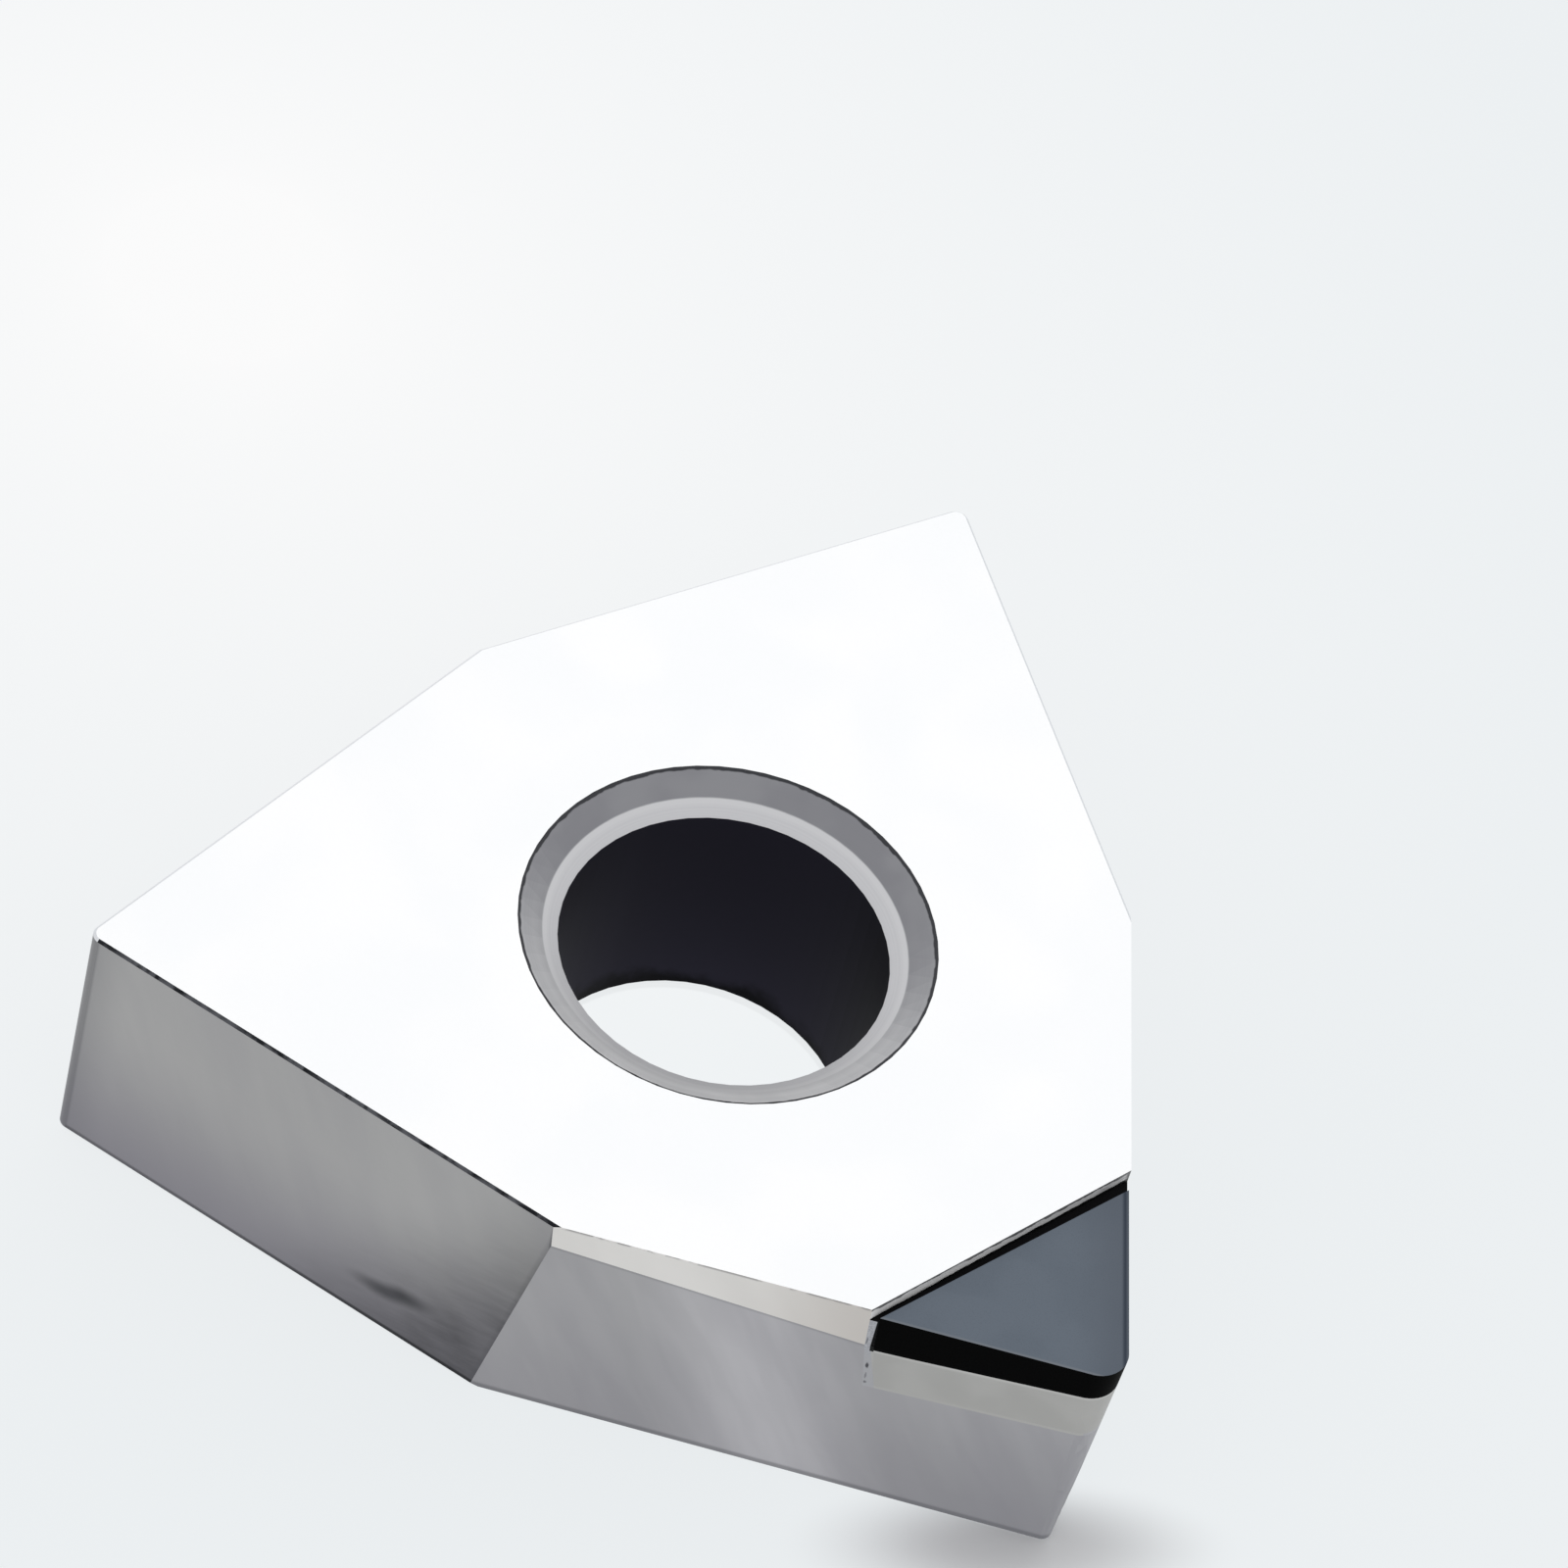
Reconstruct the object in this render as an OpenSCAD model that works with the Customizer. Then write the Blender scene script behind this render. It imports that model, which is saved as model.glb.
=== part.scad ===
// Turning insert: a trigon carbide body with one brazed diamond tip.
// Origin on the hole axis in the seating face, +Z up to the top face,
// +X along the bisector of the tipped corner. Millimetres.

/* [Body] */
// Diameter of the circle inscribed in the trigon
inscribed_d = 12.7; // [11:0.1:15]
// Height from the seating face to the top face
thickness = 4.76; // [3.9:0.02:6.5]
// Included angle of the three corners
corner_angle = 80; // [76:1:86]
// Radius of the two plain corners
heel_nose_r = 0.2; // [0.15:0.05:0.8]
// Width of the hone along the edges that are not ground
hone = 0.045; // [0.02:0.005:0.1]

/* [Clamping hole] */
// Diameter of the straight bore for the clamp pin
bore_d = 5.16; // [3.6:0.02:5.6]
// Diameter of the countersink where it opens in the top face
mouth_d = 6.52; // [6.2:0.02:7.4]
// Depth of the countersink's conical wall
mouth_depth = 0.27; // [0.15:0.01:0.8]
// Diameter where that wall meets the shallow ledge
ledge_d = 5.68; // [5.64:0.02:6.1]
// Further fall of the ledge down to the bore
ledge_fall = 0.17; // [0.05:0.01:0.3]
// Chamfer where the bore opens in the seating face
foot_chamfer = 0.15; // [0.05:0.01:0.3]

/* [Tip] */
// Distance of the pocket's back wall from the sharp corner
pocket_reach = 3.14; // [2.4:0.02:3.8]
// Drop of the tip's top below the body's top face
tip_drop = 0.145; // [0.05:0.005:0.4]
// Thickness of the diamond layer at the pocket's back wall
diamond_t = 0.8; // [0.6:0.01:1.1]
// Thickness of the carbide backing under the diamond
backing_t = 0.93; // [0.6:0.01:1.2]
// Rise of the pocket floor and of both layers towards the nose
layer_rise = 4.8; // [0:0.1:7]
// Lean of the pocket's back wall and of the tip's back, forwards as they go down
wall_lean = 3.5; // [0:0.5:6]
// Radius of the cutting nose at the top face
nose_r = 0.47; // [0.42:0.01:0.8]

/* [Braze] */
// Thickness of the braze on the pocket floor
braze_floor_t = 0.06; // [0.03:0.01:0.15]
// Width of the seam at the back wall, on the bisector
braze_wall_t = 0.15; // [0.12:0.01:0.3]
// Depth of the seam's top below the tip's top
braze_sink = 0.1; // [0.05:0.01:0.3]
// Turn of the tip in its pocket, which makes the seam a wedge
tip_turn = 1.05; // [0:0.05:1.2]

/* [Ground flanks] */
// Relief angle of the two flanks of the tipped corner
relief_angle = 3.5; // [2:0.1:5]
// Depth ground off the front flank at the top face
front_relief_in = 0.032; // [0:0.002:0.06]
// Depth ground off the back flank at the top face
back_relief_in = 0.084; // [0.05:0.002:0.15]
// Depth of the land at the top of the front flank
land_in = 0.088; // [0.07:0.002:0.15]
// Slope of the land, outwards as it goes down
land_lean = 2; // [0:0.5:10]
// Turn of the ground corner about the hole, seen from above
grind_turn = 1.05; // [0:0.05:2]
// Turn of the front relief about the hole, seen from above
relief_turn = 0.65; // [0:0.05:1]

/* [Hidden] */

side_r = inscribed_d / 2;
half_corner = corner_angle / 2;
corner_r = side_r / sin(half_corner);
// The sides of a corner face this far to its left and right.
side_az = 90 - half_corner;
obtuse_r = side_r / cos(60 - side_az);

tip_top = thickness - tip_drop;
diamond_base = tip_top - diamond_t;
backing_base = diamond_base - backing_t;
pocket_floor = backing_base - braze_floor_t;
pocket_x = corner_r - pocket_reach;

front_az = relief_turn - side_az;
land_az = grind_turn - side_az;
back_az = grind_turn + side_az;

// Every rounded nose meets its flat sides at this slight angle at its widest,
// and tapers this much slower than they do.
blend = 3;
ease = 0.999;
big = 4 * inscribed_d;
lift = 1;

function polar(r, a) = [r * cos(a), r * sin(a)];

// Where two lines in plan meet that face azimuths a and b at distances p and q.
function meet(a, p, b, q) =
    [p * sin(b) - q * sin(a), q * cos(a) - p * cos(b)] / sin(b - a);

// A block whose face stands at distance d from the hole axis at height z,
// faces azimuth az and leans in by lean as it goes down.
module half_space(az, d, z, lean) {
    rotate([0, 0, az])
        translate([d, 0, z])
            rotate([0, lean, 0])
                translate([-big, -big / 2, -big / 2])
                    cube(big);
}

// The sector of a corner that faces along +X and that a nose of radius r,
// standing at the origin, has to round.
module nose_sector(r) {
    polygon([[0, 0], polar(4 * r, side_az), [9 * r, 0], polar(4 * r, -side_az)]);
}

// Plain corner: a straight nose with the hone at both ends.
module plain_nose() {
    r = heel_nose_r;
    // The rim's cone starts a shade past the hone's edge, within the hone.
    rim = hone - 0.002;
    point_h = r / ease - rim;
    translate([corner_r - r * cos(blend) / sin(half_corner), 0, 0])
        difference() {
            translate([0, 0, -lift])
                linear_extrude(thickness + 2 * lift)
                    nose_sector(r);
            rotate_extrude($fn = 48)
                polygon([
                    [0, -point_h],
                    [r, rim],
                    [r, thickness - rim],
                    [0, thickness + point_h]
                ]);
        }
}

// The trigon blank, honed along its four plain sides and two plain corners,
// with spare stock outside the corner that is ground.
module blank() {
    difference() {
        intersection() {
            linear_extrude(thickness)
                polygon([
                    polar(corner_r + lift, 0),
                    polar(obtuse_r + lift, 55),
                    polar(obtuse_r, 60),
                    polar(corner_r, 120),
                    polar(obtuse_r, 180),
                    polar(corner_r, 240),
                    polar(obtuse_r, 300),
                    polar(obtuse_r + lift, 305)
                ]);
            intersection_for (az = [120 - side_az, 120 + side_az, 240 - side_az, 240 + side_az])
                intersection() {
                    half_space(az, side_r - hone, thickness, -45);
                    half_space(az, side_r - hone, 0, 45);
                }
        }
        for (az = [120, 240])
            rotate([0, 0, az])
                plain_nose();
    }
}

// Relieved nose: a cone that narrows downwards between the two reliefs.
module relief_nose() {
    gap = nose_r * cos(blend);
    c = meet(front_az, side_r - front_relief_in - gap, back_az, side_r - back_relief_in - gap);
    slope = ease * tan(relief_angle);
    base_r = nose_r - thickness * slope;
    translate([c[0], c[1], 0])
        difference() {
            translate([0, 0, -lift / 2])
                linear_extrude(thickness + lift)
                    nose_sector(nose_r);
            translate([0, 0, -lift])
                cylinder(h = thickness + 2 * lift, r1 = base_r - lift * slope, r2 = nose_r + lift * slope, $fn = 48);
        }
}

// Land nose: a round edge that lies along the meeting line of the land and
// the back flank.
module land_nose() {
    gap = nose_r * cos(blend);
    land_d = side_r - land_in - gap / cos(land_lean);
    back_d = side_r - back_relief_in - gap / cos(relief_angle);
    top = meet(land_az, land_d, back_az, back_d);
    foot = meet(land_az, land_d + thickness * tan(land_lean), back_az, back_d - thickness * tan(relief_angle));
    run = top - foot;
    tilt = atan2(norm(run), thickness);
    heading = atan2(run[1], run[0]);
    translate([top[0], top[1], thickness])
        rotate([0, 0, heading])
            rotate([0, tilt, 0])
                rotate([0, 0, -heading])
                    translate([0, 0, -1.5 * thickness])
                        difference() {
                            linear_extrude(2 * thickness)
                                nose_sector(nose_r);
                            translate([0, 0, -lift])
                                cylinder(h = 2 * thickness + 2 * lift, r = nose_r, $fn = 48);
                        }
}

// The outer form that body, tip and braze share once the corner is ground.
module ground_form() {
    difference() {
        intersection() {
            blank();
            half_space(front_az, side_r - front_relief_in, thickness, relief_angle);
            half_space(back_az, side_r - back_relief_in, thickness, relief_angle);
            half_space(land_az, side_r - land_in, thickness, -land_lean);
        }
        relief_nose();
        land_nose();
    }
}

// Everything above a floor that rises towards the nose from height z at the
// pocket's back wall.
module above(z) {
    translate([pocket_x, 0, z])
        rotate([0, -layer_rise, 0])
            translate([-big / 2, -big / 2, 0])
                cube(big);
}

// Everything in front of a wall that crosses the bisector at x in the top
// face, up to height z1. The wall is square to the bisector but for the turn.
module front_of(x, turn, z1) {
    intersection() {
        translate([x, 0, thickness])
            rotate([0, 0, -turn])
                rotate([0, -wall_lean, 0])
                    translate([0, -big / 2, -big / 2])
                        cube(big);
        translate([0, -big / 2, -lift])
            cube([big, big, z1 + lift]);
    }
}

// Room of the pocket up to height z1.
module pocket_room(z1) {
    intersection() {
        front_of(pocket_x, 0, z1);
        above(pocket_floor);
    }
}

// Room of the brazed tip in its pocket, from a floor at height z0 up to z1.
module tip_room(z0, z1) {
    intersection() {
        front_of(pocket_x + braze_wall_t, tip_turn, z1);
        above(z0);
    }
}

// Clamping hole: chamfered foot, bore, shallow ledge and conical mouth as one
// revolved cut.
module hole() {
    ledge_z = thickness - mouth_depth;
    rotate_extrude($fn = 96)
        polygon([
            [0, -lift],
            [bore_d / 2 + foot_chamfer + lift, -lift],
            [bore_d / 2, foot_chamfer],
            [bore_d / 2, ledge_z - ledge_fall],
            [ledge_d / 2, ledge_z],
            [mouth_d / 2, thickness],
            [mouth_d / 2, thickness + lift],
            [0, thickness + lift]
        ]);
}

module carbide_body() {
    color([0.62, 0.62, 0.64])
        difference() {
            ground_form();
            hole();
            pocket_room(thickness + lift);
        }
}

module tip_backing() {
    color([0.61, 0.6, 0.58])
        difference() {
            intersection() {
                ground_form();
                tip_room(backing_base, tip_top);
            }
            above(diamond_base);
        }
}

module diamond_layer() {
    color([0.12, 0.13, 0.14])
        intersection() {
            ground_form();
            tip_room(diamond_base, tip_top);
        }
}

// Braze: a film on the pocket floor that turns up the back wall.
module braze_seam() {
    color([0.78, 0.77, 0.74])
        intersection() {
            ground_form();
            difference() {
                pocket_room(tip_top - braze_sink);
                tip_room(backing_base, thickness);
            }
        }
}

carbide_body();
tip_backing();
diamond_layer();
braze_seam();
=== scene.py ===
from math import cos, radians, sin, tan

import bpy
from mathutils import Matrix, Vector

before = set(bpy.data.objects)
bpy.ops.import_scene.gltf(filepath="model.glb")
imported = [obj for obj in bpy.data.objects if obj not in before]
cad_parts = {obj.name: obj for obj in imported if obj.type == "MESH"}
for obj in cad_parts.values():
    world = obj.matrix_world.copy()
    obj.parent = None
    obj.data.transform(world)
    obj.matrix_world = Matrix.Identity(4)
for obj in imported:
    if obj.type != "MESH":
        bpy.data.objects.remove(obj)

bpy.context.view_layer.update()


# ---------------------------------------------------------------------------
# Carbide body. The trigon blank is pressed and sintered cemented carbide. Its
# two faces are lapped, its six sides are ground, and the mouth of the clamping
# hole keeps a turned cone and a brighter ledge over a dark, as-sintered bore.
# The cone's lighter side and much of the bore's dark are painted light and shade.
# ---------------------------------------------------------------------------
def ink(red, green, blue):
    """A colour given in 0 to 255 screen values, as the linear colour that a shader takes."""
    def linear(v):
        v /= 255
        return v / 12.92 if v <= 0.04045 else ((v + 0.055) / 1.055) ** 2.4
    return (linear(red), linear(green), linear(blue), 1)


def connect(tree, node, feed):
    """Feeds a node's sockets from other nodes, or sets them to plain values."""
    for key, value in feed.items():
        if isinstance(value, bpy.types.NodeSocket):
            tree.links.new(value, node.inputs[key])
        else:
            node.inputs[key].default_value = value
    return node


def add(tree, kind, feed=None, **settings):
    """Puts a node in tree, with its settings and what feeds each of its sockets."""
    node = tree.nodes.new(kind)
    for name, value in settings.items():
        setattr(node, name, value)
    return connect(tree, node, feed or {})


def reckon(tree, operation, *values):
    """One Math node."""
    return add(tree, "ShaderNodeMath", dict(enumerate(values)), operation=operation).outputs[0]


def minus(tree, value, other):
    """The difference of two values."""
    return reckon(tree, "SUBTRACT", value, other)


def plus(tree, value, factor, other):
    """Value plus factor times other."""
    return reckon(tree, "MULTIPLY_ADD", other, factor, value)


def times(tree, first, *others):
    """The product of some masks or values."""
    for other in others:
        first = reckon(tree, "MULTIPLY", first, other)
    return first


def squares(tree, one, other):
    """The sum of two values' squares."""
    return reckon(tree, "ADD", reckon(tree, "POWER", one, 2.0), reckon(tree, "POWER", other, 2.0))


def either(tree, first, *others):
    """The strongest of some masks."""
    for other in others:
        first = reckon(tree, "MAXIMUM", first, other)
    return first


def over(tree, value, limit):
    """A mask of where value is greater than limit."""
    return reckon(tree, "GREATER_THAN", value, limit)


def under(tree, value, limit):
    """A mask of where value is less than limit."""
    return reckon(tree, "LESS_THAN", value, limit)


def fade(tree, value, start, end, low=0.0, high=1.0):
    """A soft step from low to high as value goes from start to end."""
    return add(tree, "ShaderNodeMapRange",
               {"Value": value, "From Min": start, "From Max": end, "To Min": low, "To Max": high},
               interpolation_type="SMOOTHSTEP").outputs[0]


def swing(tree, cloud, high=1.0):
    """A cloud pattern, which runs from -1 to 1, as a mask from 0 to high."""
    return fade(tree, cloud, -1.0, 1.0, 0.0, high)


def lay(tree, mask, ground, cover, blend="MIX"):
    """One colour over another, where mask says so."""
    return add(tree, "ShaderNodeMix", {0: mask, 6: ground, 7: cover},
               data_type="RGBA", blend_type=blend).outputs[2]


def choose(tree, mask, plain, other):
    """One value instead of another, where mask says so."""
    return add(tree, "ShaderNodeMix", {0: mask, 2: plain, 3: other}, data_type="FLOAT").outputs[0]


def vector(tree, operation, *values):
    """One Vector Math node."""
    return add(tree, "ShaderNodeVectorMath", dict(enumerate(values)), operation=operation).outputs


def noise(tree, place, scale, detail, roughness, distortion=0.0):
    """One noise pattern, which runs from 0 to 1."""
    return add(tree, "ShaderNodeTexNoise", {
        "Vector": place, "Scale": scale, "Detail": detail, "Roughness": roughness,
        "Distortion": distortion}).outputs[0]


def place_in_mm(tree):
    """Where a point lies in the part's own frame, in millimetres."""
    metres = add(tree, "ShaderNodeTexCoord").outputs["Object"]
    return add(tree, "ShaderNodeVectorMath", {0: metres, "Scale": 1000.0}, operation="SCALE").outputs[0]


def group(name, takes, gives):
    """An empty shader group with its named sockets, and its two end nodes."""
    tree = bpy.data.node_groups.new(name, "ShaderNodeTree")
    for label, kind, value in takes:
        socket = tree.interface.new_socket(label, in_out="INPUT", socket_type=kind)
        if value is not None:
            socket.default_value = value
    for label, kind in gives:
        tree.interface.new_socket(label, in_out="OUTPUT", socket_type=kind)
    return tree, tree.nodes.new("NodeGroupInput"), tree.nodes.new("NodeGroupOutput")


def use(tree, name, feed=None):
    """One of the finished groups, placed in a material."""
    node = tree.nodes.new("ShaderNodeGroup")
    node.node_tree = bpy.data.node_groups[name]
    return connect(tree, node, feed or {}).outputs


FLOAT, VECTOR = "NodeSocketFloat", "NodeSocketVector"

# Where a point of the surface is, in millimetres, and which way it faces. Along
# runs level along the side that the point is on.
tree, _, end = group("insert_place", [], [
    ("Place", VECTOR), ("X", FLOAT), ("Y", FLOAT), ("Height", FLOAT), ("Radius", FLOAT), ("Facing", VECTOR),
    ("Facing X", FLOAT), ("Facing Y", FLOAT), ("Facing Up", FLOAT), ("Along", FLOAT)])
place = place_in_mm(tree)
spot = add(tree, "ShaderNodeSeparateXYZ", {0: place}).outputs
facing = add(tree, "ShaderNodeNewGeometry").outputs["True Normal"]
face = add(tree, "ShaderNodeSeparateXYZ", {0: facing}).outputs
flat_spot = add(tree, "ShaderNodeCombineXYZ", {"X": spot["X"], "Y": spot["Y"]}).outputs[0]
connect(tree, end, {
    "Place": place, "X": spot["X"], "Y": spot["Y"], "Height": spot["Z"],
    "Radius": vector(tree, "LENGTH", flat_spot)["Value"],
    "Facing": facing, "Facing X": face["X"], "Facing Y": face["Y"], "Facing Up": face["Z"],
    "Along": minus(tree, times(tree, spot["Y"], face["X"]), times(tree, spot["X"], face["Y"]))})

# Fine lines that a wheel leaves: close together across, drawn out along.
tree, start, end = group(
    "wheel_lines",
    [("Across", FLOAT, 0.0), ("Along", FLOAT, 0.0), ("Pitch", FLOAT, 0.05), ("Run", FLOAT, 3.0),
     ("Turn", FLOAT, 0.0)],
    [("Height", FLOAT), ("Tone", FLOAT)])
fine_share, broad_share = 0.45, 0.55
cell = add(tree, "ShaderNodeCombineXYZ", {
    "X": reckon(tree, "DIVIDE", start.outputs["Across"], start.outputs["Pitch"]),
    "Y": reckon(tree, "DIVIDE", start.outputs["Along"], start.outputs["Run"]),
    "Z": start.outputs["Turn"]}).outputs[0]
fine = noise(tree, cell, 1.0, 3.0, 0.65)
wide_cell = vector(tree, "MULTIPLY", cell, (0.18, 0.6, 1.0))[0]
broad = noise(tree, wide_cell, 1.0, 2.0, 0.5)
connect(tree, end, {
    "Height": fine, "Tone": plus(tree, times(tree, broad, broad_share), fine_share, fine)})

# Soft clouds of uneven reflection on a ground face, with a fine grain in them.
tree, start, end = group(
    "satin_clouds", [("Place", VECTOR, None), ("Size", FLOAT, 3.0), ("Grain", FLOAT, 0.03)],
    [("Cloud", FLOAT), ("Grain", FLOAT)])
for label, size, look in (("Cloud", "Size", (2.0, 0.45, 0.3)), ("Grain", "Grain", (1.0, 0.5))):
    scale = reckon(tree, "DIVIDE", 1.0, start.outputs[size])
    pattern = noise(tree, start.outputs["Place"], scale, *look)
    connect(tree, end, {label: fade(tree, pattern, 0.3, 0.7, -1.0, 1.0)})


def wheel_lines(tree, across, along, pitch, run, turn=0.0):
    """The height and the tone of wheel lines, with the lines' pitch and length in millimetres."""
    made = use(tree, "wheel_lines", {
        "Across": across, "Along": along, "Pitch": pitch, "Run": run, "Turn": turn})
    return made["Height"], made["Tone"]


def satin_clouds(tree, place, size, grain=0.05):
    """The clouds and the grain of a ground face, with their sizes in millimetres."""
    made = use(tree, "satin_clouds", {"Place": place, "Size": size, "Grain": grain})
    return made["Cloud"], made["Grain"]


def material(name):
    """A new material, with its tree, its shader and its surface's place."""
    made = bpy.data.materials.new(name)
    made.use_nodes = True
    tree = made.node_tree
    return made, tree, tree.nodes["Principled BSDF"], use(tree, "insert_place")


def roughen(tree, shader, height, strength, microns):
    """Gives a shader the fine relief of a height pattern, so many microns deep."""
    bump = add(tree, "ShaderNodeBump", {"Strength": strength, "Distance": microns * 1e-6, "Height": height})
    tree.links.new(bump.outputs[0], shader.inputs["Normal"])


def inward(tree, at, azimuth, distance, lean=0.0):
    """How far a point lies inside a side, in millimetres. The side faces azimuth, and it leans out by
    lean as it rises from distance in the seating face."""
    turn = radians(azimuth)
    away = (cos(turn), sin(turn), -tan(radians(lean)))
    return minus(tree, distance, vector(tree, "DOT_PRODUCT", at["Place"], away)["Value"])


# Sizes that the material needs, in millimetres and degrees.
face_top = 4.76
mouth_r, ledge_r, rim_r = 3.26, 2.84, 3.205
plain_corner_r = 9.72
pocket_from, pocket_to = 5.0, 8.0
relief_lean = 3.5
back_azimuth, back_top = 51.05, 6.266

carbide, tree, shader, at = material("carbide_ground")
x, y, height, radius, along = at["X"], at["Y"], at["Height"], at["Radius"], at["Along"]
facing_x, facing_y, up = at["Facing X"], at["Facing Y"], at["Facing Up"]
flatness = reckon(tree, "ABSOLUTE", up)

# Which surface a point is on, by the way it faces and where it lies.
square_on = 0.99
on_top = over(tree, up, square_on)
on_seat = under(tree, up, -square_on)
sunk = times(tree, under(tree, radius, mouth_r + 0.01), minus(tree, 1.0, on_top), minus(tree, 1.0, on_seat))
on_ledge = times(tree, sunk, fade(tree, radius, ledge_r + 0.015, ledge_r - 0.015))
in_bore = times(tree, sunk, under(tree, flatness, 0.2))
in_mouth = minus(tree, sunk, in_bore)
on_hone = times(tree, minus(tree, 1.0, sunk), over(tree, flatness, 0.4), under(tree, flatness, 0.9))
on_land = times(tree, over(tree, height, 3.5), over(tree, up, 0.02), under(tree, up, 0.3))
on_wall = times(tree, over(tree, facing_x, square_on), over(tree, x, pocket_from), under(tree, x, pocket_to))
front_left = times(tree, under(tree, facing_y, -0.9), over(tree, facing_x, 0.3))
reground = over(tree, facing_x, 0.5)

# The patterns. On the sides the clouds are drawn out in the slanting direction
# of the wheel, and each side has its own.
side_relief, side_tone = wheel_lines(tree, height, along, 0.06, 2.5, times(tree, facing_x, 7.0))
hole_relief, hole_tone = wheel_lines(tree, radius, height, 0.035, 0.2)
cloud, grain = satin_clouds(tree, at["Place"], 2.6)
nibbled = satin_clouds(tree, at["Place"], 0.22)[0]
turned = satin_clouds(tree, at["Place"], 1.1)[0]
slanting = add(tree, "ShaderNodeCombineXYZ", {
    "X": plus(tree, along, 0.43, height),
    "Y": times(tree, height, 0.22),
    "Z": times(tree, facing_x, 9.0)}).outputs[0]
swept = satin_clouds(tree, slanting, 1.5)[0]
mottled = satin_clouds(tree, slanting, 0.45)[0]

# Plain sides: satin gray, palest at the top and deeper towards the seat.
side = lay(tree, fade(tree, height, 3.6, -0.6), ink(180, 178, 177), ink(143, 140, 147))
outer_end = fade(tree, reckon(tree, "ABSOLUTE", along), 6.6, 7.6)
side = lay(tree, times(tree, outer_end, 0.35), side, ink(120, 120, 124))

# The one in front is dull towards its lower inner end.
rubbed = wheel_lines(tree, plus(tree, height, -0.2, along), along, 0.16, 0.9, 5.0)[1]
low_end = fade(tree, minus(tree, along, height), -4.8, 0.0, 0.0, 0.82)
low_end = times(tree, low_end, fade(tree, rubbed, 0.35, 0.65, 0.84, 1.12))
side = lay(tree, times(tree, front_left, low_end), side, ink(64, 63, 66))

# It has a small smudge from handling there, which slopes along the side.
smudge_along, smudge_height, smudge_slope = -1.35, 1.23, 0.18
smudge_length, smudge_width = 0.6, 0.165
smudge_line = plus(tree, smudge_height, smudge_slope, along)
lengthwise = reckon(tree, "DIVIDE", minus(tree, along, smudge_along), smudge_length)
crosswise = minus(tree, plus(tree, height, 0.06, swept), smudge_line)
crosswise = reckon(tree, "DIVIDE", crosswise, smudge_width)
smudge = reckon(tree, "SQRT", squares(tree, lengthwise, crosswise))
smudge = fade(tree, plus(tree, smudge, 0.8, rubbed), 2.0, 0.6)
side = lay(tree, times(tree, front_left, smudge), side, ink(58, 58, 61))

# A dark line marks where it meets the reground side, in a faint wide shade.
to_reground = plus(tree, along, -0.1734, height)
inner_line = fade(tree, to_reground, 0.08, 0.24, 0.0, 0.35)
inner_shade = fade(tree, to_reground, -1.6, 0.2, 0.0, 0.12)
inner_top = times(tree, fade(tree, along, 0.9, 0.98), fade(tree, height, 3.9, 4.3, 0.0, 0.8))
inner_edge = either(tree, inner_line, inner_shade, inner_top)
side = lay(tree, times(tree, front_left, inner_edge), side, ink(58, 58, 62))

# Reground sides of the tipped corner: a soft pale patch that leans the way the
# wheel ran, and deeper tones towards the nose. The front one is duller just
# below its land.
run = minus(tree, times(tree, x, 0.76), times(tree, y, 0.65, reckon(tree, "SIGN", facing_y)))
flank = lay(tree, fade(tree, run, 1.5, 7.0), ink(182, 180, 181), ink(176, 174, 177))
lower_tone = lay(tree, fade(tree, run, 3.0, 6.5), ink(155, 152, 157), ink(140, 138, 143))
flank = lay(tree, fade(tree, height, 3.8, 0.0, 0.0, 0.6), flank, lower_tone)
patch_run, patch_lean, patch_reach = 2.75, 0.25, 2.1
from_patch = reckon(tree, "ABSOLUTE", minus(tree, plus(tree, run, patch_lean, height), patch_run))
flank = lay(tree, fade(tree, from_patch, patch_reach, 0.0, 0.0, 0.72), flank, ink(206, 203, 206))
land_foot, land_fall = 4.177, -0.0727
below_land = minus(tree, plus(tree, land_foot, land_fall, run), height)
below_land = times(tree, under(tree, facing_y, 0.0), fade(tree, below_land, 0.07, 0.02, 0.0, 0.3))
flank = lay(tree, below_land, flank, ink(110, 109, 113))
side = lay(tree, reground, side, flank)

# Clouds and wheel lines over all sides, a little stronger on the reground ones.
clouded = times(tree, swing(tree, swept), plus(tree, 0.15, 0.09, reground))
side = lay(tree, clouded, side, ink(148, 145, 152))
clouded = times(tree, swing(tree, mottled), plus(tree, 0.05, 0.05, reground))
side = lay(tree, clouded, side, ink(136, 134, 139))
side = lay(tree, 0.05, side, side_tone, "OVERLAY")

# Thin dark arrises: along the seat, at the plain corners and down the nose, and a
# dark band along the foot of the front side.
seat_line = fade(tree, height, 0.15, 0.07)
corner_line = fade(tree, radius, plain_corner_r - 0.06, plain_corner_r)
behind = inward(tree, at, back_azimuth, back_top - face_top * tan(radians(relief_lean)), relief_lean)
nose_line = times(tree, over(tree, x, pocket_to), fade(tree, behind, 0.0005, 0.002))
nose_line = times(tree, nose_line, fade(tree, behind, 0.1, 0.04, 0.0, 0.6))
arris = either(tree, seat_line, corner_line, nose_line)
side = lay(tree, times(tree, arris, 0.5), side, ink(88, 88, 93))
dark_foot = times(tree, fade(tree, height, 0.15, 0.1), fade(tree, along, -7.0, 0.5, 0.3, 0.95))
side = lay(tree, times(tree, front_left, dark_foot), side, ink(38, 38, 41))

# Land: brighter and warmer than the relief under it, with a burr at its top.
land = lay(tree, fade(tree, run, 1.0, 4.0), ink(238, 234, 230), ink(214, 207, 201))
land = lay(tree, swing(tree, swept, 0.15), land, ink(196, 192, 188))
burr = times(tree, fade(tree, height, 4.7, 4.75), fade(tree, nibbled, -0.7, 0.4, 0.0, 0.6))
land = lay(tree, burr, land, ink(112, 110, 110))
colour = lay(tree, on_land, side, land)
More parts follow.
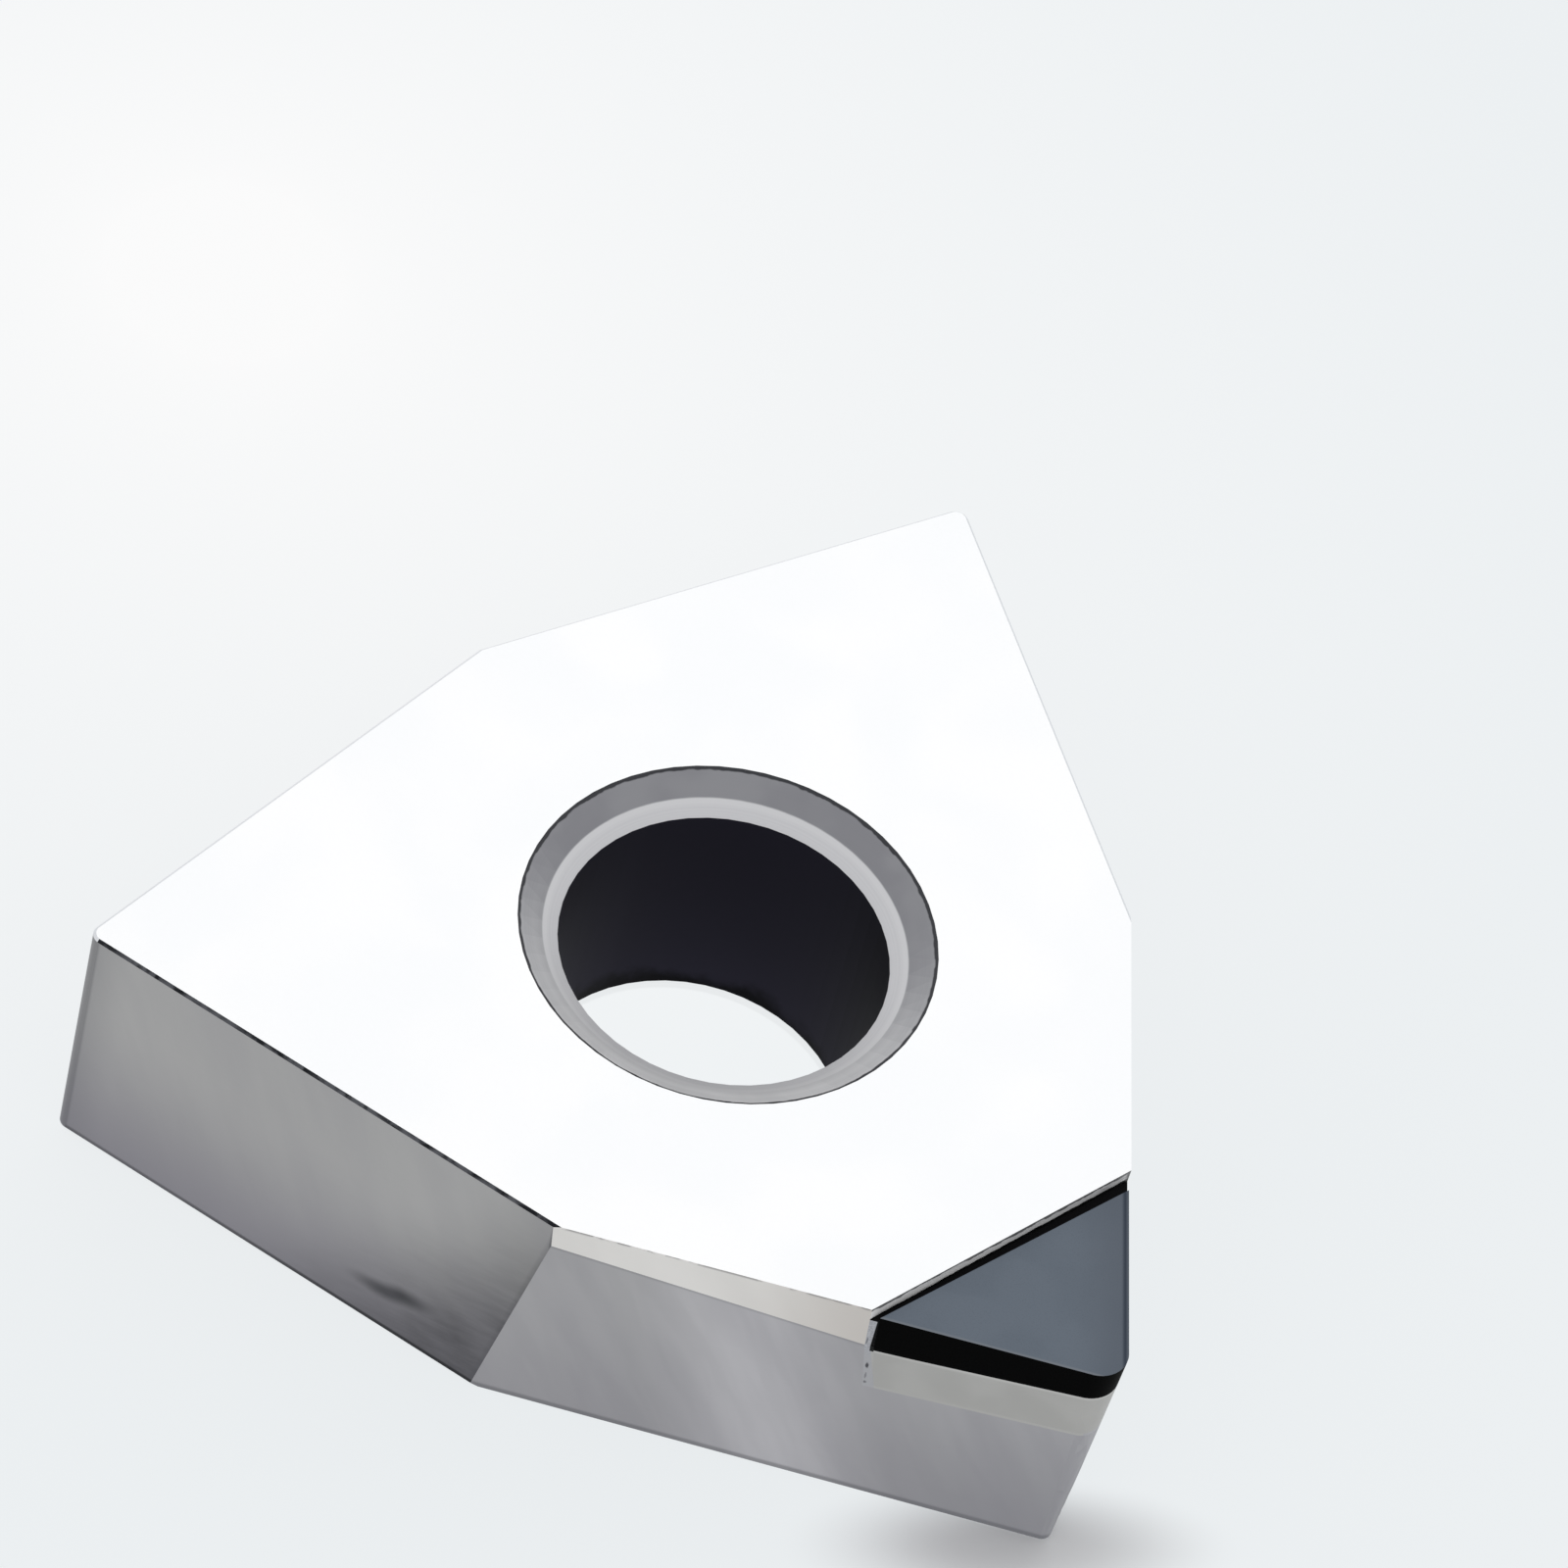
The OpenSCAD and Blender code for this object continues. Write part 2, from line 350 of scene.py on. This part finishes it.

# Back wall of the tip's pocket: milled and tinned, streaked along, with a
# nibbled dark rim and a painted shade over its foot, down in the gap by the tip.
streaks = wheel_lines(tree, height, y, 0.045, 0.6, 3.0)[1]
wall = lay(tree, fade(tree, y, -2.0, 3.2), ink(234, 234, 235), ink(206, 207, 209))
wall = lay(tree, fade(tree, streaks, 0.48, 0.36, 0.0, 0.6), wall, ink(120, 120, 124))
rim = fade(tree, plus(tree, height, 0.022, nibbled), 4.695, 4.71)
rim = either(tree, rim, fade(tree, y, 2.5, 2.57))
wall = lay(tree, times(tree, rim, 0.8), wall, ink(44, 44, 48))
# Painted shade: the wall's foot goes near-black where it drops into the gap.
wall_foot_shade = minus(tree, plus(tree, height, 0.008, nibbled), fade(tree, y, -2.5, 0.5, 0.0, 0.045))
wall = lay(tree, fade(tree, wall_foot_shade, 4.55, 4.535), wall, ink(10, 10, 12))
colour = lay(tree, on_wall, colour, wall)

# The two lapped faces.
cloudy = swing(tree, cloud)
colour = lay(tree, on_top, colour, lay(tree, cloudy, ink(250, 251, 252), ink(253, 253, 253)))
colour = lay(tree, on_seat, colour, lay(tree, cloudy, ink(196, 197, 199), ink(212, 212, 213)))

# Hones: bright and narrow, but for the dark one over the front side.
front_hone = times(tree, under(tree, facing_y, -0.5), over(tree, facing_x, 0.1))
hone = lay(tree, swing(tree, nibbled), ink(36, 37, 40), ink(92, 93, 97))
hone = lay(tree, front_hone, ink(232, 233, 235), hone)
colour = lay(tree, on_hone, colour, hone)

# Clamping hole: turned cone, painted lighter on the side that faces the softbox,
# brighter ledge, a worn dark rim, and a dark bore, its dark partly painted shade,
# that darkens towards its foot.
facing_back = vector(tree, "DOT_PRODUCT", at["Facing"], (-0.68, 0.74, 0.0))["Value"]
# Painted highlight: the cone is lighter on the side that faces the softbox.
cone = lay(tree, fade(tree, facing_back, -0.22, 0.62), ink(136, 136, 141), ink(238, 238, 239))
cone = lay(tree, fade(tree, hole_tone, 0.3, 0.7, 0.0, 0.3), cone, ink(128, 129, 134))
cone = lay(tree, swing(tree, turned, 0.2), cone, ink(172, 173, 175))
worn = fade(tree, plus(tree, radius, 0.01, nibbled), rim_r - 0.01, rim_r + 0.01)
cone = lay(tree, worn, cone, ink(44, 45, 50))
ledge = lay(tree, fade(tree, hole_tone, 0.3, 0.7), ink(203, 203, 206), ink(216, 216, 218))
hole = lay(tree, on_ledge, cone, ledge)
# Painted shade: the bore's dark carbide is darkest on the walls that the softbox lights.
bore = lay(tree, fade(tree, facing_back, -1.0, 0.2), ink(46, 44, 57), ink(34, 32, 43))
bore = lay(tree, fade(tree, facing_x, 0.2, -0.8, 0.0, 0.9), bore, ink(22, 21, 28))
bore_foot_dark = plus(tree, plus(tree, height, -0.05, nibbled), -0.14, turned)
bore = lay(tree, fade(tree, bore_foot_dark, 0.6, 0.15, 0.0, 0.9), bore, ink(6, 6, 8))
hole = lay(tree, in_bore, hole, bore)
colour = lay(tree, sunk, colour, hole)
tree.links.new(colour, shader.inputs["Base Color"])

# The sides and the bore reflect as metal does. The lapped top, the hole's mouth
# and the tinned wall scatter more of the light.
rough = choose(tree, on_top, plus(tree, 0.36, 0.12, side_tone), plus(tree, 0.3, 0.02, grain))
tree.links.new(choose(tree, in_bore, rough, 0.7), shader.inputs["Roughness"])
dull = either(tree, times(tree, on_top, 0.6), times(tree, on_wall, 0.9), times(tree, in_mouth, 0.6))
tree.links.new(minus(tree, 1.0, dull), shader.inputs["Metallic"])
relief = choose(tree, sunk, side_relief, hole_relief)
roughen(tree, shader, choose(tree, on_top, relief, times(tree, grain, 0.15)), 0.5, 1.2)
shader.inputs["IOR"].default_value = 1.6
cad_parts["carbide_body"].material_slots[0].material = carbide


# ---------------------------------------------------------------------------
# Braze seam. Silver braze alloy fills the gap between tip and pocket. It shows
# as a bright line on the ground flanks, and on top it lies sunk behind the tip,
# painted near-black there as the shade in that gap.
# ---------------------------------------------------------------------------
def past_tip_back(tree, at):
    """How far in front of the tip's back edge a point of the front side lies, in millimetres. The edge
    leans forwards as it goes down."""
    edge_foot, edge_lean = 7.137, 0.0612
    return minus(tree, plus(tree, at["X"], edge_lean, at["Height"]), edge_foot)


braze, tree, shader, at = material("braze_silver")
x, height = at["X"], at["Height"]
grain = satin_clouds(tree, at["Place"], 0.5, 0.03)[1]
silver = lay(tree, swing(tree, grain), ink(168, 168, 173), ink(186, 186, 190))
silver = lay(tree, fade(tree, height, 3.85, 3.6), silver, ink(178, 177, 180))

# On the front side the tip's ground edge is smeared a little over the seam, less
# towards the top and the foot: black beside the diamond, pale beside the backing.
layers_meet, blur = 3.7925, 0.0075
edge_blur = 0.006
past = past_tip_back(tree, at)
in_front = under(tree, at["Facing Y"], -0.5)
smears = ((0.2, -0.04, layers_meet - blur, layers_meet + blur, ink(4, 4, 5)),
          (-0.205, 0.062, layers_meet + blur, layers_meet - blur, ink(184, 182, 179)))
for reach, per_height, starts, ends, tone in smears:
    smear = reckon(tree, "ADD", past, plus(tree, reach, per_height, height))
    smear = times(tree, fade(tree, smear, -edge_blur, edge_blur), fade(tree, height, starts, ends))
    silver = lay(tree, times(tree, in_front, smear), silver, tone)

# Pores where the alloy ran short, in the upright part of the seam. Each has its
# place in X and height, its half width and half height, and its depth of tone.
pores = ((6.80, 4.02, 0.010, 0.10, 0.5), (6.863, 3.40, 0.020, 0.085, 0.95),
         (6.868, 3.12, 0.014, 0.09, 0.45), (6.875, 2.95, 0.020, 0.035, 0.6))
for pore_x, pore_height, half_width, half_height, depth in pores:
    off = squares(tree, reckon(tree, "DIVIDE", minus(tree, x, pore_x), half_width),
                  reckon(tree, "DIVIDE", minus(tree, height, pore_height), half_height))
    pore = fade(tree, plus(tree, off, 0.25, grain), 1.3, 0.3, 0.0, depth)
    silver = lay(tree, times(tree, in_front, pore), silver, ink(70, 69, 74))

# Its sunk top is painted near-black as shade, and made dull.
shaded_sunk_top = over(tree, at["Facing Up"], 0.5)
tree.links.new(lay(tree, shaded_sunk_top, silver, ink(12, 12, 14)), shader.inputs["Base Color"])
tree.links.new(minus(tree, 1.0, shaded_sunk_top), shader.inputs["Metallic"])
tree.links.new(plus(tree, 0.4, 0.45, shaded_sunk_top), shader.inputs["Roughness"])
shader.inputs["Specular IOR Level"].default_value = 0.1
roughen(tree, shader, grain, 0.4, 2.0)
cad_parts["braze_seam"].material_slots[0].material = braze


# ---------------------------------------------------------------------------
# Tip backing. A wedge of cemented carbide, of a finer and slightly warmer
# grade than the body, which the diamond is sintered onto. Its ends are ground
# flush with the body's flanks.
# ---------------------------------------------------------------------------
backing, tree, shader, at = material("backing_ground")
height = at["Height"]
relief, tone = wheel_lines(tree, height, at["Along"], 0.05, 1.5)
cloud = satin_clouds(tree, at["Place"], 1.2, 0.04)[0]
colour = lay(tree, swing(tree, cloud), ink(180, 178, 175), ink(186, 184, 181))
# It is paler in a thin line under the diamond, which rises to the nose.
diamond_foot, diamond_rise = 3.247, 0.084
under_diamond = minus(tree, plus(tree, diamond_foot, diamond_rise, at["X"]), height)
colour = lay(tree, fade(tree, under_diamond, 0.07, 0.02, 0.0, 0.7), colour, ink(205, 203, 200))
# Braze wets its lower back corner on the front side.
wetted = minus(tree, past_tip_back(tree, at), plus(tree, 0.264, -0.08, height))
wetted = times(tree, fade(tree, wetted, edge_blur, -edge_blur), under(tree, at["Facing Y"], -0.5))
colour = lay(tree, wetted, colour, ink(178, 177, 180))
colour = lay(tree, 0.05, colour, tone, "OVERLAY")
tree.links.new(colour, shader.inputs["Base Color"])
tree.links.new(plus(tree, 0.4, 0.1, tone), shader.inputs["Roughness"])
shader.inputs["Metallic"].default_value = 1.0
roughen(tree, shader, relief, 0.5, 1.0)
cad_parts["tip_backing"].material_slots[0].material = backing


# ---------------------------------------------------------------------------
# Diamond layer. Sintered polycrystalline diamond: slate where its top is
# lapped, jet black where the wheel has cut its edges. A fine painted highlight
# runs along the cutting edge.
# ---------------------------------------------------------------------------
diamond, tree, shader, at = material("diamond_sintered")
cloud, grain = satin_clouds(tree, at["Place"], 0.9, 0.02)
on_top = over(tree, at["Facing Up"], 0.9)

# Each tone of the top lies at a distance from one of its two ground edges: darker
# towards the back one, with thin painted highlights along both edges.
front = inward(tree, at, -48.95, 6.267)
back = inward(tree, at, back_azimuth, 6.257)
slate = lay(tree, swing(tree, cloud), ink(104, 113, 124), ink(107, 116, 127))
slate = lay(tree, fade(tree, grain, 0.3, 1.0, 0.0, 0.15), slate, ink(84, 91, 100))
for edge, starts, ends, strength, tone in (
        (back, 0.9, 0.1, 0.5, ink(89, 95, 105)), (front, 0.055, 0.02, 0.6, ink(128, 132, 138)),
        (back, 0.12, 0.06, 0.9, ink(56, 64, 76)), (back, 0.05, 0.02, 0.6, ink(104, 111, 120))):
    slate = lay(tree, fade(tree, edge, starts, ends, 0.0, strength), slate, tone)
ground = lay(tree, swing(tree, grain), ink(1, 1, 1), ink(4, 4, 4))
tree.links.new(lay(tree, on_top, ground, slate), shader.inputs["Base Color"])
tree.links.new(plus(tree, 0.6, -0.25, on_top), shader.inputs["Roughness"])
tree.links.new(times(tree, on_top, 0.04), shader.inputs["Coat Weight"])
shader.inputs["Specular IOR Level"].default_value = 0.02
roughen(tree, shader, grain, 0.3, 0.8)
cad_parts["diamond_layer"].material_slots[0].material = diamond


# ---------------------------------------------------------------------------
# Photographer's table. A plain pale floor under the insert, a wide softbox
# behind it that the lapped face mirrors, and a pale room all round.
# ---------------------------------------------------------------------------
pale = ink(240, 241, 243)
table_half, table_height = 1.5, -0.00001
corners = [(a * table_half, b * table_half, table_height) for a, b in ((-1, -1), (1, -1), (1, 1), (-1, 1))]
floor_mesh = bpy.data.meshes.new("table")
floor_mesh.from_pydata(corners, [], [(0, 1, 2, 3)])
floor = bpy.data.objects.new("table", floor_mesh)
bpy.context.scene.collection.objects.link(floor)
paper = bpy.data.materials.new("table_paper")
paper.use_nodes = True
tree = paper.node_tree
shader = tree.nodes["Principled BSDF"]
shader.inputs["Base Color"].default_value = pale
shader.inputs["Roughness"].default_value = 0.9
shader.inputs["Specular IOR Level"].default_value = 0.0


def seen_rays(tree):
    """Masks of the camera's own rays, and of those together with the insert's reflections."""
    ray = add(tree, "ShaderNodeLightPath").outputs
    camera_ray = ray["Is Camera Ray"]
    return camera_ray, either(tree, camera_ray, ray["Is Glossy Ray"], ray["Is Transmission Ray"])


def from_spot(tree, place, x, y, turn=0.0, squeeze=1.0):
    """Distance from a spot of the table, in millimetres, squeezed across the direction turn."""
    off = vector(tree, "SUBTRACT", place, (x, y, 0.0))[0]
    off = add(tree, "ShaderNodeVectorRotate", {"Vector": off, "Angle": radians(-turn)},
              rotation_type="Z_AXIS").outputs[0]
    return vector(tree, "LENGTH", vector(tree, "MULTIPLY", off, (1.0, 1.0 / squeeze, 1.0))[0])["Value"]


# The paper is whitest at one side and cools off evenly away from there.
camera_ray, seen = seen_rays(tree)
place = place_in_mm(tree)
cooled = add(tree, "ShaderNodeMapRange", {
    "Value": from_spot(tree, place, -18.0, 4.0), "From Min": 2.0, "From Max": 24.0}).outputs[0]
cooled = reckon(tree, "POWER", cooled, 0.65)
paper_tone = lay(tree, cooled, ink(254, 254, 254), ink(238, 242, 244))
# Under the tipped corner a painted shadow deepens the insert's own, drawn out sideways.
shadow_turn, shadow_squeeze, shadow_tone = 59.0, 0.38, ink(8, 9, 10)
deepest = fade(tree, from_spot(tree, place, 9.4, 0.0, shadow_turn, shadow_squeeze), 3.2, 0.0, 0.0, 0.22)
deepest = times(tree, camera_ray, deepest)
paper_tone = lay(tree, deepest, paper_tone, shadow_tone)
glow = add(tree, "ShaderNodeEmission", {"Color": paper_tone, "Strength": 1.0})
tree.links.new(lay(tree, deepest, pale, shadow_tone), shader.inputs["Base Color"])
# How much of the paper's tone is its own: nearly all of it through the bore, and
# less in that shadow.
own_share, bore_share = 0.88, 0.98
own = fade(tree, from_spot(tree, place, 9.1, -0.55, shadow_turn, shadow_squeeze), 3.7, 0.6, own_share, 0.0)
own = choose(tree, camera_ray, own_share, own)
own = either(tree, own, fade(tree, from_spot(tree, place, 0.0, 0.0), 2.65, 2.55, 0.0, bore_share))
own = times(tree, seen, own)
mixed = add(tree, "ShaderNodeMixShader", {0: own, 1: shader.outputs[0], 2: glow.outputs[0]})
tree.links.new(mixed.outputs[0], tree.nodes["Material Output"].inputs["Surface"])
floor_mesh.materials.append(paper)

# The room is pale to look at, and the light that it gives is a little weaker.
room_light = 0.81
room = bpy.data.worlds.new("room")
bpy.context.scene.world = room
room.use_nodes = True
tree = room.node_tree
tree.nodes.clear()
walls = add(tree, "ShaderNodeBackground", {"Color": pale, "Strength": 1.0})
fill = add(tree, "ShaderNodeBackground", {"Color": (1.0, 1.0, 1.0, 1.0), "Strength": room_light})
both = add(tree, "ShaderNodeMixShader", {0: seen_rays(tree)[1], 1: fill.outputs[0], 2: walls.outputs[0]})
add(tree, "ShaderNodeOutputWorld", {"Surface": both.outputs[0]})

# The camera stands at the photograph's angle: seen from the tipped corner's
# right, half way up, and rolled, because the insert is held at a slant. It aims
# a little beside the hole's axis in the top face.
azimuth, elevation, roll = radians(40.72), radians(49.97), radians(15.12)
aim_right, aim_down, distance = -0.000843, 0.002269, 0.140557
picture_width, focal_length, film_width = 1600, 9392, 36
ahead = Vector((-sin(azimuth) * cos(elevation), cos(azimuth) * cos(elevation), -sin(elevation)))
level = Vector((cos(azimuth), sin(azimuth), 0))
below = ahead.cross(level)
right = cos(roll) * level - sin(roll) * below
down = sin(roll) * level + cos(roll) * below
eye = Vector((0, 0, face_top / 1000)) - (aim_right * right + aim_down * down + distance * ahead)
lens = bpy.data.cameras.new("camera")
lens.sensor_width = film_width
lens.lens = focal_length / picture_width * film_width
lens.clip_start, lens.clip_end = 0.01, 10
camera = bpy.data.objects.new("camera", lens)
camera.matrix_world = Matrix.Translation(eye) @ Matrix((right, -down, -ahead)).transposed().to_4x4()
bpy.context.scene.collection.objects.link(camera)
bpy.context.scene.camera = camera

# The softbox is a square lamp that looks at the insert from behind.
lamp_toward, lamp_distance = (-0.42, 0.49, 0.85), 0.30
lamp = bpy.data.lights.new("softbox_behind", "AREA")
lamp.size, lamp.energy = 0.22, 0.06
softbox = bpy.data.objects.new("softbox_behind", lamp)
stand = Vector(lamp_toward).normalized() * lamp_distance
softbox.matrix_world = Matrix.Translation(stand) @ stand.to_track_quat("Z", "Y").to_matrix().to_4x4()
bpy.context.scene.collection.objects.link(softbox)

bpy.context.scene.view_settings.view_transform = "Standard"

bpy.context.view_layer.update()
